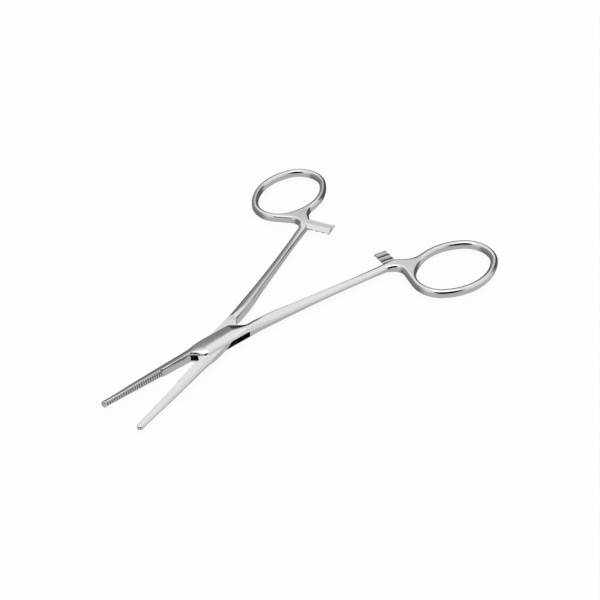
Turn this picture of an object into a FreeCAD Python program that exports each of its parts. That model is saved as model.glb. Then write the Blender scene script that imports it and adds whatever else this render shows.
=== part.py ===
# Haemostat forceps with a box lock, drawn with the jaws closed and then opened to the resting pose
import FreeCAD, Part
import Sketcher
import math
import os
import re

os.makedirs("parts", exist_ok=True)
doc = FreeCAD.newDocument("hemostat_forceps")
sheet = doc.addObject("Spreadsheet::Sheet", "Sizes")

# Sizes in millimetres and degrees. Both halves are drawn on the same numbers, mirrored.
# Across is x and along is y, with the pivot at the origin and the jaws towards plus y.
SIZES = (
    # Pose and the gap between the closed jaws
    ("rest_half_angle", 9.03),
    ("jaw_gap", 0.04),
    # Box of the lock
    ("box_thickness", 4.5),
    ("box_outer", 3.6),
    ("box_inner", 3.6),
    ("box_ramp_start", 5.5),
    ("box_rear", 10.4),
    ("box_edge_radius", 1.1),
    ("cheek_reach", 10.4),
    ("cheek_corner_radius", 3.0),
    # Tongue that passes through the box, with its clearances
    ("slot_height", 2.1),
    ("slot_clearance", 0.05),
    ("tongue_end_clearance", 0.15),
    ("shoulder_clearance", 0.3),
    ("shoulder_slope", 21.8),
    ("shoulder_ramp", 1.4),
    # Pivot pin
    ("pin_diameter", 2.8),
    ("pin_clearance", 0.05),
    # Jaw
    ("jaw_reach", 41.2),
    ("jaw_root", 10.8),
    ("jaw_root_width", 3.1),
    ("jaw_root_thickness", 3.7),
    ("jaw_middle", 28.0),
    ("jaw_middle_width", 2.5),
    ("jaw_middle_thickness", 2.65),
    ("tip_width", 1.9),
    ("tip_thickness", 1.9),
    ("tip_radius", 0.85),
    ("jaw_edge_radius", 0.85),
    # Serrations across the inner face of the jaw
    ("serration_start", 20.5),
    ("serration_pitch", 0.78),
    ("serration_depth", 0.27),
    ("serration_width", 0.6),
    ("serration_count", 25),
    # Shank, by station from the box to the ring: place, middle, width and thickness
    ("root_y", 5.0),
    ("root_middle", 1.9),
    ("root_width", 3.2),
    ("root_thickness", 4.4),
    ("neck_y", 13.0),
    ("neck_middle", 2.03),
    ("neck_width", 3.5),
    ("neck_thickness", 4.15),
    ("waist_y", 20.0),
    ("waist_middle", 2.5),
    ("waist_width", 3.7),
    ("waist_thickness", 3.5),
    ("upper_y", 30.0),
    ("upper_middle", 3.6),
    ("upper_width", 3.1),
    ("upper_thickness", 3.0),
    ("middle_y", 42.0),
    ("middle_middle", 4.95),
    ("middle_width", 2.85),
    ("middle_thickness", 2.55),
    ("lower_y", 54.0),
    ("lower_middle", 6.4),
    ("lower_width", 2.85),
    ("lower_thickness", 2.34),
    ("ankle_y", 62.0),
    ("ankle_middle", 7.35),
    ("ankle_width", 3.1),
    ("ankle_thickness", 2.5),
    ("foot_y", 70.0),
    ("foot_middle", 8.3),
    ("foot_width", 2.9),
    ("foot_thickness", 2.9),
    ("shank_outer_share", 0.45),
    ("shank_inner_share", 0.2),
    # Finger ring, an oval of four arcs measured on the middle of its wire
    ("ring_x", 22.9),
    ("ring_top", 65.7),
    ("ring_half_length", 16.0),
    ("ring_half_width", 11.1),
    ("ring_end_radius", 8.6),
    ("ring_wire", 2.4),
    ("ring_thickness", 3.0),
    ("ring_edge_radius", 1.1),
    # Web between shank and ring
    ("web_top", 64.5),
    ("web_outer_angle", 68.0),
    ("web_outer_run", 8.8),
    ("web_inner_angle", 2.5),
    ("web_inner_run", 6.65),
    ("web_outer_hollow", 3.0),
    ("web_inner_hollow", 8.0),
    ("web_corner_x", 6.75),
    ("web_corner_y", 69.3),
    ("web_corner_radius", 4.0),
    # Ratchet bars: place, tilt and reach past the middle line of each, then their common section
    ("box_bar_y", 68.3),
    ("box_bar_tilt", 13.0),
    ("box_bar_reach", 0.3),
    ("tongue_bar_y", 67.6),
    ("tongue_bar_tilt", 6.5),
    ("tongue_bar_reach", 2.2),
    ("ratchet_root", 7.6),
    ("ratchet_gap", 0.1),
    ("ratchet_width", 4.5),
    ("ratchet_near_bevel", 1.8),
    ("ratchet_far_bevel", 0.3),
    ("ratchet_land", 0.75),
    ("ratchet_end_slope", 0.5),
    ("tooth_pitch", 2.25),
    ("tooth_height", 0.65),
    ("tooth_count", 3),
    ("tooth_end", 0.55),
    ("tooth_clear", 1.45),
)
NAMES = {name for name, size in SIZES}
for row, (name, size) in enumerate(SIZES, start=1):
    sheet.set("A%d" % row, name)
    sheet.set("B%d" % row, str(size))
    sheet.setAlias("B%d" % row, name)
doc.recompute()

# Derived sizes, as expressions of the sheet
FACE = "(jaw_gap / 2)"
PIN_RADIUS = "(pin_diameter / 2)"
TONGUE = "(slot_height - 2 * slot_clearance)"
SHOULDER = "(cheek_reach + shoulder_clearance)"
HALF_WIRE = "(ring_wire / 2)"
RING_Y = "(ring_top + ring_half_length)"
END_CENTRE = "(ring_half_length - ring_end_radius)"
SIDE_RADIUS = (
    "((ring_half_length * ring_half_length + ring_half_width * ring_half_width"
    " - 2 * ring_half_length * ring_end_radius) / (2 * (ring_half_width - ring_end_radius)))"
)
SIDE_CENTRE = "(%s - ring_half_width)" % SIDE_RADIUS
BAR_HEIGHT = "((ring_thickness - ratchet_gap) / 2)"
BEYOND = "(2 * box_thickness)"
STATIONS = ("root", "neck", "waist", "upper", "middle", "lower", "ankle", "foot")


def bound(text):
    """Put the name of the sheet before each of its sizes in an expression."""
    return re.sub(r"[a-z_]+", lambda m: "Sizes." + m[0] if m[0] in NAMES else m[0], text)


def number(text):
    """Work an expression of the sheet out."""
    return float(doc.getObject("Sizes").evalExpression(bound(text)))


def mirrored(side, text):
    """Give a distance across the drawing its sign for one half."""
    return text if side > 0 else "-(%s)" % text


def plane(body, role):
    """Find an origin plane of a body by its role."""
    return next(item for item in body.Origin.OriginFeatures if item.Role == role)


def new_sketch(body, name, role, offset=(), turn=None):
    """Attach a sketch to an origin plane, moved by bound distances and turned by a bound angle."""
    sketch = body.newObject("Sketcher::SketchObject", name)
    sketch.AttachmentSupport = [(plane(body, role), "")]
    sketch.MapMode = "FlatFace"
    if turn:
        axis, angle = turn
        sketch.AttachmentOffset = FreeCAD.Placement(
            FreeCAD.Vector(), FreeCAD.Rotation(FreeCAD.Vector(*axis), number(angle))
        )
        sketch.setExpression("AttachmentOffset.Rotation.Angle", bound(angle))
    for direction, distance in offset:
        sketch.setExpression("AttachmentOffset.Base." + direction, bound(distance))
    return sketch


def constrain(sketch, plain, sized):
    """Add the constraints of a sketch and bind the sized ones to the sheet."""
    sketch.addConstraint(plain)
    for kind, where, text in sized:
        index = sketch.addConstraint(Sketcher.Constraint(kind, *where, number(text)))
        sketch.setExpression("Constraints[%d]" % index, bound(text))


def pinned(item, point, x, y):
    """Hold a point of a sketch at two bound coordinates."""
    return [
        ("DistanceX", (-1, 1, item, point), x),
        ("DistanceY", (-1, 1, item, point), y),
    ]


def outline(sketch, corners):
    """Draw a closed outline of lines whose corners are (x, y, radius or None) expressions."""
    points = [FreeCAD.Vector(number(x), number(y), 0) for x, y, radius in corners]
    count = len(corners)
    ends = []
    for index, (x, y, radius) in enumerate(corners):
        here = points[index]
        if radius is None:
            ends.append((here, here, None))
            continue
        back = (points[index - 1] - here).normalize()
        on = (points[(index + 1) % count] - here).normalize()
        half_turn = back.getAngle(on) / 2
        reach = number(radius) / math.tan(half_turn)
        centre = here + (back + on).normalize() * (number(radius) / math.sin(half_turn))
        ends.append((here + back * reach, here + on * reach, centre))
    first = sketch.GeometryCount
    for index in range(count):
        start = ends[index][1]
        stop = ends[(index + 1) % count][0]
        sketch.addGeometry(Part.LineSegment(start, stop))
    plain = []
    sized = []
    for index, (x, y, radius) in enumerate(corners):
        before = first + (index - 1) % count
        after = first + index
        if radius is None:
            plain.append(Sketcher.Constraint("Coincident", before, 2, after, 1))
            sized += pinned(after, 1, x, y)
            continue
        start, stop, centre = ends[index]
        middle = centre + (points[index] - centre).normalize() * number(radius)
        arc = sketch.addGeometry(Part.Arc(start, middle, stop))
        turned = (start - points[index]).cross(stop - points[index]).z < 0
        near, far = (1, 2) if turned else (2, 1)
        corner = sketch.addGeometry(Part.Point(points[index]), True)
        plain.append(Sketcher.Constraint("Tangent", before, 2, arc, near))
        plain.append(Sketcher.Constraint("Tangent", after, 1, arc, far))
        plain.append(Sketcher.Constraint("PointOnObject", corner, 1, before))
        plain.append(Sketcher.Constraint("PointOnObject", corner, 1, after))
        sized += pinned(corner, 1, x, y)
        sized.append(("Radius", (arc,), radius))
    constrain(sketch, plain, sized)


def oval(sketch, side, grown):
    """Draw the ring's oval of four tangent arcs, grown outwards by a bound distance."""
    centre = FreeCAD.Vector(number(mirrored(side, "-ring_x")), number("-" + RING_Y), 0)
    end = number("ring_end_radius + (%s)" % grown)
    flank = number("%s + (%s)" % (SIDE_RADIUS, grown))
    end_centre = FreeCAD.Vector(0, number(END_CENTRE), 0)
    flank_centre = FreeCAD.Vector(number(SIDE_CENTRE), 0, 0)
    joint = (end_centre + flank_centre).normalize() * flank - flank_centre
    corners = [FreeCAD.Vector(a * joint.x, b * joint.y, 0) for a, b in ((1, 1), (-1, 1), (-1, -1), (1, -1))]
    crowns = (
        end_centre + FreeCAD.Vector(0, end, 0),
        FreeCAD.Vector(number(SIDE_CENTRE) - flank, 0, 0),
        end_centre * -1 - FreeCAD.Vector(0, end, 0),
        FreeCAD.Vector(flank - number(SIDE_CENTRE), 0, 0),
    )
    for index in range(4):
        start = centre + corners[index]
        stop = centre + corners[(index + 1) % 4]
        sketch.addGeometry(Part.Arc(start, centre + crowns[index], stop))
    plain = [Sketcher.Constraint("Tangent", index, 2, (index + 1) % 4, 1) for index in range(4)]
    x = mirrored(side, "-ring_x")
    sized = pinned(0, 3, x, "-%s + %s" % (RING_Y, END_CENTRE))
    sized += pinned(2, 3, x, "-%s - %s" % (RING_Y, END_CENTRE))
    sized += [("Radius", (index,), "ring_end_radius + (%s)" % grown) for index in (0, 2)]
    sized += [("Radius", (index,), "%s + (%s)" % (SIDE_RADIUS, grown)) for index in (1, 3)]
    constrain(sketch, plain, sized)


def pad(body, name, sketch, length):
    """Extrude a sketch to both sides of its plane."""
    feature = body.newObject("PartDesign::Pad", name)
    feature.Profile = sketch
    feature.SideType = "Symmetric"
    feature.setExpression("Length", bound(length))
    doc.recompute()
    return feature


def pocket(body, name, sketch, length):
    """Cut a sketch to both sides of its plane."""
    feature = body.newObject("PartDesign::Pocket", name)
    feature.Profile = sketch
    feature.SideType = "Symmetric"
    feature.setExpression("Length", bound(length))
    doc.recompute()
    return feature


def loft(body, name, sections, ruled):
    """Join a row of sections."""
    feature = body.newObject("PartDesign::AdditiveLoft", name)
    feature.Profile = sections[0]
    feature.Sections = sections[1:]
    feature.Ruled = ruled
    doc.recompute()
    return feature


def section(body, side, name, along, edges, thickness, radii):
    """Draw a rectangle across the length at one station, its corners rounded edge by edge."""
    sketch = new_sketch(body, name, "XZ_Plane", [("z", "-(%s)" % along)])
    left, right = [mirrored(side, "(%s)" % edge) for edge in edges]
    top = "(%s) / 2" % thickness
    outline(
        sketch,
        [
            (left, "-" + top, radii[0]),
            (right, "-" + top, radii[1]),
            (right, top, radii[1]),
            (left, top, radii[0]),
        ],
    )
    return sketch


def level_edges(feature, height):
    """Name the edges of a feature that lie level at a height above or below the middle."""
    names = []
    for index, edge in enumerate(feature.Shape.Edges, start=1):
        if all(abs(abs(vertex.Z) - height) < 1e-4 for vertex in edge.Vertexes):
            names.append("Edge%d" % index)
    return names


def make_ring(body, side):
    """Finger ring and the web that joins it to the shank."""
    rim = new_sketch(body, "RingOutline", "XY_Plane")
    oval(rim, side, HALF_WIRE)
    pad(body, "RingBlank", rim, "ring_thickness")
    turn = "web_outer_angle * 1deg"
    lean = "web_inner_angle * 1deg"
    end_y = "(-ring_top - ring_end_radius)"
    flank_x = "(-ring_x - %s)" % SIDE_CENTRE
    outer_run = "(ring_end_radius + %s)" % HALF_WIRE
    flank_run = "(%s + %s)" % (SIDE_RADIUS, HALF_WIRE)
    outer = (
        "(-ring_x + %s * cos(%s) + web_outer_run * sin(%s))" % (outer_run, turn, turn),
        "(%s + %s * sin(%s) - web_outer_run * cos(%s))" % (end_y, outer_run, turn, turn),
    )
    inner = (
        "(%s + %s * cos(%s) - web_inner_run * sin(%s))" % (flank_x, flank_run, lean, lean),
        "(-%s + %s * sin(%s) + web_inner_run * cos(%s))" % (RING_Y, flank_run, lean, lean),
    )
    corners = [
        ("-(foot_middle - 0.55 * foot_width / 2 + foot_width / 2)", "-web_top", None),
        outer + ("web_outer_hollow",),
        (
            "(-ring_x + %s * cos(%s))" % (outer_run, turn),
            "(%s + %s * sin(%s))" % (end_y, outer_run, turn),
            None,
        ),
        (
            "(-ring_x + ring_end_radius * cos(%s))" % turn,
            "(%s + ring_end_radius * sin(%s))" % (end_y, turn),
            None,
        ),
        (
            "(%s + %s * cos(%s))" % (flank_x, SIDE_RADIUS, lean),
            "(-%s + %s * sin(%s))" % (RING_Y, SIDE_RADIUS, lean),
            None,
        ),
        (
            "(%s + %s * cos(%s))" % (flank_x, flank_run, lean),
            "(-%s + %s * sin(%s))" % (RING_Y, flank_run, lean),
            None,
        ),
        inner + ("web_inner_hollow",),
        ("-web_corner_x", "-web_corner_y", "web_corner_radius"),
        ("-(foot_middle - foot_width / 2 - 0.55 * foot_width / 2)", "-web_top", None),
    ]
    web = new_sketch(body, "WebOutline", "XY_Plane")
    outline(web, [(mirrored(side, x), y, radius) for x, y, radius in corners])
    pad(body, "WebBlank", web, "ring_thickness")
    hole = new_sketch(body, "RingHole", "XY_Plane")
    oval(hole, side, "-" + HALF_WIRE)
    blank = pocket(body, "FingerHole", hole, BEYOND)
    rounding = body.newObject("PartDesign::Fillet", "RingRounding")
    rounding.Base = (blank, level_edges(blank, number("ring_thickness / 2")))
    rounding.setExpression("Radius", bound("ring_edge_radius"))
    doc.recompute()


def make_trunk(body, side):
    """Jaw and box in one forged taper, then the shank down to the web."""
    jaw_stations = (
        ("Rear", "-box_rear", "box_inner", "box_thickness", "box_edge_radius"),
        ("Ramp", "box_ramp_start", "box_inner", "box_thickness", "box_edge_radius"),
        ("JawRoot", "jaw_root", "jaw_root_width", "jaw_root_thickness", "box_edge_radius"),
        ("JawMiddle", "jaw_middle", "jaw_middle_width", "jaw_middle_thickness", "jaw_edge_radius"),
        ("Tip", "jaw_reach", "tip_width", "tip_thickness", "jaw_edge_radius"),
    )
    sections = []
    for name, along, width, thickness, radius in jaw_stations:
        edges = ("-box_outer", width)
        radii = (radius, radius)
        sections.append(section(body, side, name + "Section", along, edges, thickness, radii))
    loft(body, "JawAndBox", sections, True)
    sections = []
    for station in STATIONS:
        middle, width = station + "_middle", station + "_width"
        thickness = station + "_thickness"
        edges = ("-%s - %s / 2" % (middle, width), "-%s + %s / 2" % (middle, width))
        smaller = "min(%s; %s)" % (width, thickness)
        radii = ("shank_outer_share * " + smaller, "shank_inner_share * " + smaller)
        name = station.capitalize() + "Section"
        sections.append(section(body, side, name, "-%s_y" % station, edges, thickness, radii))
    loft(body, "Shank", sections, False)


def trim_trunk(body, side, reach):
    """Cut the blank back to the jaw's inner face and to the slanted corners of the box."""
    front = new_sketch(body, "FrontTrim", "XY_Plane")
    left = "-box_outer"
    beyond = "jaw_reach + box_rear"
    corners = [
        (FACE, reach, None),
        (FACE, "jaw_reach", "tip_radius"),
        ("tip_width", "jaw_reach", "tip_radius"),
        ("tip_width", "jaw_reach - 2 * tip_radius", None),
        ("2 * box_outer", "jaw_reach - 2 * tip_radius", None),
        ("2 * box_outer", beyond, None),
        ("-2 * box_outer", beyond, None),
        ("-2 * box_outer", "box_outer / 2", None),
        (left, "box_outer / 2", None),
        (left, "%s - box_outer" % reach, "cheek_corner_radius"),
    ]
    outline(front, [(mirrored(side, x), y, radius) for x, y, radius in corners])
    pocket(body, "FrontCut", front, BEYOND)
    rear = new_sketch(body, "RearTrim", "XY_Plane")
    corners = [
        ("box_inner", "-box_inner / 2", None),
        ("box_inner", "-(%s - box_inner)" % reach, "cheek_corner_radius"),
        ("%s - box_rear" % reach, "-box_rear", None),
        ("%s - box_rear" % reach, "-box_rear - box_inner", None),
        ("2 * box_inner", "-box_rear - box_inner", None),
        ("2 * box_inner", "-box_inner / 2", None),
    ]
    outline(rear, [(mirrored(side, x), y, radius) for x, y, radius in corners])
    pocket(body, "RearCut", rear, BEYOND)


def circle(body, name, radius):
    """Draw a circle about the pivot."""
    sketch = new_sketch(body, name, "XY_Plane")
    sketch.addGeometry(Part.Circle(FreeCAD.Vector(), FreeCAD.Vector(0, 0, 1), number(radius)))
    constrain(sketch, [Sketcher.Constraint("Coincident", 0, 3, -1, 1)], [("Radius", (0,), radius)])
    return sketch


def make_slot(body):
    """Slot right through the box for the tongue of the other half."""
    pocket(body, "Slot", circle(body, "SlotOutline", "cheek_reach"), "slot_height")


def make_tongue(body, side):
    """Thin the blank above and below to a tongue with slanted shoulders."""
    turn = ((0, 1, 0), "shoulder_slope * 1deg" if side < 0 else "-shoulder_slope * 1deg")
    sketch = new_sketch(body, "TongueRelief", "YZ_Plane", turn=turn)
    foot = "%s * cos(shoulder_slope * 1deg)" % SHOULDER
    rise = "(box_thickness - %s / 2)" % TONGUE
    head = "%s + shoulder_ramp * %s / ((box_thickness - %s) / 2)" % (foot, rise, TONGUE)
    for sign in ("", "-"):
        corners = [
            ("-(%s)" % foot, "%s%s / 2" % (sign, TONGUE), None),
            (foot, "%s%s / 2" % (sign, TONGUE), None),
            (head, "%sbox_thickness" % sign, None),
            ("-(%s)" % head, "%sbox_thickness" % sign, None),
        ]
        outline(sketch, corners)
    pocket(body, "Tongue", sketch, "8 * box_outer")


def make_serrations(body, side):
    """Fine notches across the inner face of the jaw."""
    sketch = new_sketch(body, "SerrationNotch", "XY_Plane")
    shift = "" if side > 0 else " + serration_pitch / 2"
    corners = [
        ("-serration_depth", "serration_start - serration_width" + shift, None),
        (FACE + " + serration_depth", "serration_start" + shift, None),
        ("-serration_depth", "serration_start + serration_width" + shift, None),
    ]
    outline(sketch, [(mirrored(side, x), y, radius) for x, y, radius in corners])
    notch = pocket(body, "Serration", sketch, BEYOND)
    pattern = body.newObject("PartDesign::LinearPattern", "Serrations")
    pattern.Originals = [notch]
    pattern.Direction = (sketch, ["V_Axis"])
    pattern.setExpression("Occurrences", bound("serration_count"))
    pattern.setExpression("Length", bound("serration_pitch * (serration_count - 1)"))
    body.Tip = pattern
    doc.recompute()


def make_ratchet(body, side, bar):
    """Ratchet bar that reaches from the shank towards the other half."""
    tilt = bar + "_tilt * 1deg"
    angle = "-" + tilt if side > 0 else tilt
    level = "-ring_thickness / 2"
    length = "((ratchet_root + %s_reach) / cos(%s))" % (bar, tilt)
    along = new_sketch(
        body,
        "BarSection",
        "YZ_Plane",
        [("x", "-%s_y" % bar), ("z", mirrored(side, "-ratchet_root"))],
        ((0, 1, 0), angle),
    )
    up = "" if side > 0 else "-"
    back = "%s(%s)" % (up, level)
    land = "%s(%s + %s - ratchet_land)" % (up, level, BAR_HEIGHT)
    face = "%s(%s + %s)" % (up, level, BAR_HEIGHT)
    corners = [
        ("-ratchet_width / 2 + ratchet_far_bevel", back, None),
        ("ratchet_width / 2 - ratchet_near_bevel", back, None),
        ("ratchet_width / 2", land, None),
        ("ratchet_width / 2", face, None),
        ("-ratchet_width / 2", face, None),
        ("-ratchet_width / 2", land, None),
    ]
    outline(along, corners)
    blank = body.newObject("PartDesign::Pad", "RatchetBar")
    blank.Profile = along
    blank.Reversed = side < 0
    blank.setExpression("Length", bound(length))
    doc.recompute()
    origin = [("x", mirrored(side, "-ratchet_root")), ("z", bar + "_y")]
    turn = ((0, 1, 0), angle)
    over = "%s(%s + 2 * %s)" % (up, level, BAR_HEIGHT)
    under = "%s(%s - %s)" % (up, level, BAR_HEIGHT)
    floor = "%s(%s + %s - tooth_height)" % (up, level, BAR_HEIGHT)
    first = "(%s - ratchet_end_slope - tooth_end - tooth_pitch * (tooth_count - 1))" % length
    slope = [
        (length + " - 2 * ratchet_end_slope", over, None),
        (length + " + ratchet_end_slope", under, None),
        (length + " + 3 * ratchet_end_slope", under, None),
        (length + " + 3 * ratchet_end_slope", over, None),
    ]
    nearest = [
        ("max(%s - tooth_pitch; tooth_clear)" % first, face, None),
        (first, floor, None),
        (first, face, None),
    ]
    ends = new_sketch(body, "BarEnds", "XZ_Plane", origin, turn)
    for corners in (slope, nearest):
        outline(ends, [(mirrored(side, x), y, radius) for x, y, radius in corners])
    pocket(body, "BarEndCuts", ends, "ratchet_width")
    corners = [
        (first, face, None),
        ("(%s + tooth_pitch)" % first, floor, None),
        ("(%s + tooth_pitch)" % first, face, None),
    ]
    teeth = new_sketch(body, "ToothNotch", "XZ_Plane", origin, turn)
    outline(teeth, [(mirrored(side, x), y, radius) for x, y, radius in corners])
    notch = pocket(body, "Tooth", teeth, "ratchet_width")
    pattern = body.newObject("PartDesign::LinearPattern", "Teeth")
    pattern.Originals = [notch]
    pattern.Direction = (teeth, ["H_Axis"])
    pattern.Reversed = side < 0
    pattern.setExpression("Occurrences", bound("tooth_count - 1"))
    pattern.setExpression("Length", bound("tooth_pitch * (tooth_count - 2)"))
    body.Tip = pattern
    doc.recompute()


def make_half(name, label, side):
    """One half of the forceps, drawn closed on its own side of the middle line."""
    body = doc.addObject("PartDesign::Body", name)
    body.Label = label
    make_ring(body, side)
    make_trunk(body, side)
    trim_trunk(body, side, "cheek_reach" if side > 0 else "(cheek_reach - tongue_end_clearance)")
    if side > 0:
        make_slot(body)
    else:
        make_tongue(body, side)
    bore = PIN_RADIUS if side > 0 else PIN_RADIUS + " + pin_clearance"
    pocket(body, "Bore", circle(body, "BoreOutline", bore), BEYOND)
    make_serrations(body, side)
    make_ratchet(body, side, "box_bar" if side > 0 else "tongue_bar")
    axis = FreeCAD.Vector(0, 0, -side)
    body.Placement = FreeCAD.Placement(FreeCAD.Vector(), FreeCAD.Rotation(axis, number("rest_half_angle")))
    body.setExpression("Placement.Rotation.Angle", bound("rest_half_angle * 1deg"))
    body.setExpression("Placement.Base.z", bound("box_thickness / 2"))
    return body


def make_pin():
    """Pivot pin, ground flush with both faces of the box."""
    body = doc.addObject("PartDesign::Body", "PivotPin")
    body.Label = "pivot_pin"
    pad(body, "PinPad", circle(body, "PinOutline", PIN_RADIUS), "box_thickness")
    body.setExpression("Placement.Base.z", bound("box_thickness / 2"))
    return body


def check():
    """Stop when any object of the document failed to build."""
    for item in doc.Objects:
        if "Invalid" in item.State or "Error" in item.State:
            raise RuntimeError("%s did not build: %s" % (item.Name, item.State))


bodies = [make_half("BoxHalf", "box_half", 1), make_half("TongueHalf", "tongue_half", -1), make_pin()]
doc.recompute()
check()
for body in bodies:
    if body.Shape.isNull() or not body.Shape.isValid() or len(body.Shape.Solids) != 1:
        raise RuntimeError("%s is not one sound solid" % body.Label)
    body.Shape.exportStep("parts/%s.step" % body.Label)
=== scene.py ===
# %% [markdown]
# # Haemostat forceps, dressed for a studio picture
# The instrument is two forged steel halves that pass through each other in a box lock, with one
# pivot pin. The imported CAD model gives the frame, the thickness of the box and the bodies that
# move. This lesson gives each half a smooth forged skin, a polished steel finish and a plain white
# studio, one step to a cell.

import math

import bmesh
import bpy
import numpy as np
from mathutils import Matrix, Vector


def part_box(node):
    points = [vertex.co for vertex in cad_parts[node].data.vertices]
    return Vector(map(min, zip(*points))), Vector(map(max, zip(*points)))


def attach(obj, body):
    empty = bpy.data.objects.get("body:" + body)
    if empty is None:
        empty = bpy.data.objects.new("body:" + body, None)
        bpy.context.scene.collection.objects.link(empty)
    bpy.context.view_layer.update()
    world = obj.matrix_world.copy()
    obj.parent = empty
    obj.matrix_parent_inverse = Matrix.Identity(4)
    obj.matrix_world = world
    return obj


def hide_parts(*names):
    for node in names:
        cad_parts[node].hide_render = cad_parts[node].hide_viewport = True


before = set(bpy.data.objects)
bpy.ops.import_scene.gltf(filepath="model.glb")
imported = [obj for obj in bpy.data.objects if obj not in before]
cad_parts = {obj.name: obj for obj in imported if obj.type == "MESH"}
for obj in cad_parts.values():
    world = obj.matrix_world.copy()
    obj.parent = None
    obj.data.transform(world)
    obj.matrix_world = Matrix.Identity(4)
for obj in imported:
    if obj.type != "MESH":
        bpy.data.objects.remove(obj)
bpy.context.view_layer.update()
MM = 0.001
pin_low, pin_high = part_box("pivot_pin")
BOX_THICKNESS = (pin_high.z - pin_low.z) / MM
MIDDLE_Z = BOX_THICKNESS / 2
print("frame nodes", sorted(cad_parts), "box thickness", round(BOX_THICKNESS, 3), "mm")

# %% [markdown]
# ## Sizes of a half
# Both halves are drawn alike, with the jaws closed: x across, y towards the tips, z up from the
# middle plane, in millimetres. A few numbers per station say where the two edges run and how
# thick the steel is. Most stations of the shank stand where the CAD model's do, about 0.1 mm
# narrower, so the skin keeps close to it.

# %% Driving sizes
HALF_ANGLE = 9.03
JAW_REACH = 41.2
JAW_FACE = 0.02
BOX_OUTER = 3.6
BOX_INNER = 3.6
CHEEK_REACH = 10.4
CHEEK_CORNER = 3.0
TIP_WIDTH = 1.9
TIP_RADIUS = 0.9
TONGUE_CLEARANCE = 0.15
SLOT_HEIGHT = 2.1
TONGUE_HEIGHT = 2.0
PIN_RADIUS, PIN_CLEARANCE = 1.4, 0.05
BOX_END, SHANK_START = -9.0, -13.0
RING_X, RING_Y = 22.9, 81.7
RING_LONG, RING_WIDE, RING_END = 16.0, 11.1, 8.6
WIRE_WIDTH, WIRE_HEIGHT = 2.4, 3.0
HALF_WIRE = WIRE_WIDTH / 2
FOOT_Y = -64.5
WEB_CORNER = (-6.75, -69.3)
print("closed length", JAW_REACH + RING_Y + RING_LONG + HALF_WIRE, "mm")

# %% [markdown]
# ## Curves through stations
# A forged shank has no straight lines. It could be drawn with a curve object, but then its sizes
# would be hidden in handles. Here its edges are read from a few stations, and between them a cubic
# keeps the slope smooth and never swings past a station.

# %% Curve through stations


def through(y, stations):
    """Cubic Hermite curve through (y, value) stations.

    The slope m at a station is the harmonic mean of the slopes beside it, 0 at a turn, and the
    slope of the end run at either end. Between stations a and b, with s = yb - ya and
    t = (y - ya) / s, the value is
    (2t^3 - 3t^2 + 1) va + (t^3 - 2t^2 + t) s ma + (3t^2 - 2t^3) vb + (t^3 - t^2) s mb.
    """
    ys, values = np.array(sorted(stations), float).T
    slopes = np.diff(values) / np.diff(ys)
    before, after = slopes[:-1], slopes[1:]
    inner = np.where(before * after > 0, 2 * before * after / (before + after + 1e-12), 0)
    steep = np.concatenate(([slopes[0]], inner, [slopes[-1]]))
    y = np.clip(y, ys[0], ys[-1])
    i = np.clip(np.searchsorted(ys, y, side="right") - 1, 0, len(ys) - 2)
    span = ys[i + 1] - ys[i]
    t = (y - ys[i]) / span
    return ((2 * t**3 - 3 * t**2 + 1) * values[i] + (t**3 - 2 * t**2 + t) * span * steep[i]
        + (3 * t**2 - 2 * t**3) * values[i + 1] + (t**3 - t**2) * span * steep[i + 1])


print("half way between two stations:", through(0.5, [(0, 0), (1, 1), (2, 1.5)]).round(3))

# %% [markdown]
# ## Rounded plan corners
# A grinder leaves a constant radius at a corner of the plan, so a true arc fits it better than a
# cubic. A path is a list of corners, each with its radius.

# %% Rounded path
PATH_STEP = 0.1


def straight(start, end, closed=False):
    """Evenly spaced points from start towards end, and the end itself where closed."""
    count = max(2, int(np.linalg.norm(end - start) / PATH_STEP))
    return start + (end - start) * np.linspace(0, 1, count, endpoint=closed)[:, None]


def rounded_path(corners):
    """Points along straight runs joined by tangent arcs, from corners (x, y, radius).

    An arc of radius r at a turn of angle a starts r tan(a / 2) before its corner, and its points
    turn about a centre that lies r to the inner side of that start.
    """
    points = np.array([corner[:2] for corner in corners], float)
    radii = [corner[2] for corner in corners[1:]]
    pieces = []
    last = points[0]
    for before, here, after, radius in zip(points, points[1:], points[2:], radii):
        into = (here - before) / np.linalg.norm(here - before)
        out = (after - here) / np.linalg.norm(after - here)
        turn = math.atan2(into[0] * out[1] - into[1] * out[0], float(into @ out))
        reach = radius * math.tan(abs(turn) / 2)
        start = here - into * reach
        pieces.append(straight(last, start))
        if radius > 0:
            side = np.array([-into[1], into[0]]) * math.copysign(radius, turn)
            count = max(6, int(abs(turn) * radius / PATH_STEP * 2))
            angles = np.linspace(0, turn, count, endpoint=False)
            cos, sin = np.cos(angles), np.sin(angles)
            arc = np.stack([side[1] * sin - side[0] * cos, -side[0] * sin - side[1] * cos], 1)
            pieces.append(start + side + arc)
        last = here + out * reach
    pieces.append(straight(last, points[-1], True))
    return np.concatenate(pieces)


print("a rounded right angle has", len(rounded_path([(0, 0, 0), (5, 0, 2), (5, 5, 0)])), "points")

# %% [markdown]
# ## Edges and ridges
# Polishing softens every edge and leaves a faint ridge along the box. A Bevel modifier would give
# one round width all along. Here the height of the steel depends on how far a point lies from the
# outline, so an edge can go from crisp to full within one piece.

# %% Height from distance
RIDGE_SOFTNESS = 0.03


def edge_rise(distance, width, power):
    """Quarter superellipse: (1 - (1 - d / width)^power)^(1 / power), and 1 past the width."""
    t = 1 - np.clip(distance / width, 0, 1)
    return (1 - t**power) ** (1 / power)


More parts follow.
